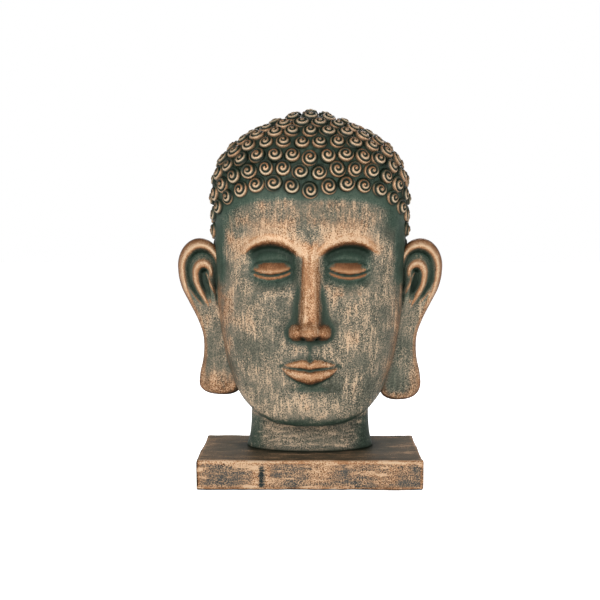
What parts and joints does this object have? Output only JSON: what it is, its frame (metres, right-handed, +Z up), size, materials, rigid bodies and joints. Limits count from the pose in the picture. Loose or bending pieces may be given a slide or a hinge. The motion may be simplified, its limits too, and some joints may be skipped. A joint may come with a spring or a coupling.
{
  "type": "buddha head sculpture",
  "caption": "Cast head with snail-shell curls, a low cone of hair, closed eyes and long pendant ears, on a rectangular plinth, in worn bronze over dark green",
  "frame": {"origin": "middle of the plinth's underside, where the sculpture stands", "axes": "+Z up, the face looks along -Y, +X towards the right of someone facing it"},
  "size_m": [0.42, 0.2521, 0.5795],
  "materials": {
    "head": "cast stone, painted dark grey-green and dry-brushed with copper",
    "plinth": "cast stone, painted dark blue-grey and dry-brushed with copper"
  },
  "bodies": {
    "root": {"head": "head", "plinth": "plinth"}
  },
  "joints": []
}
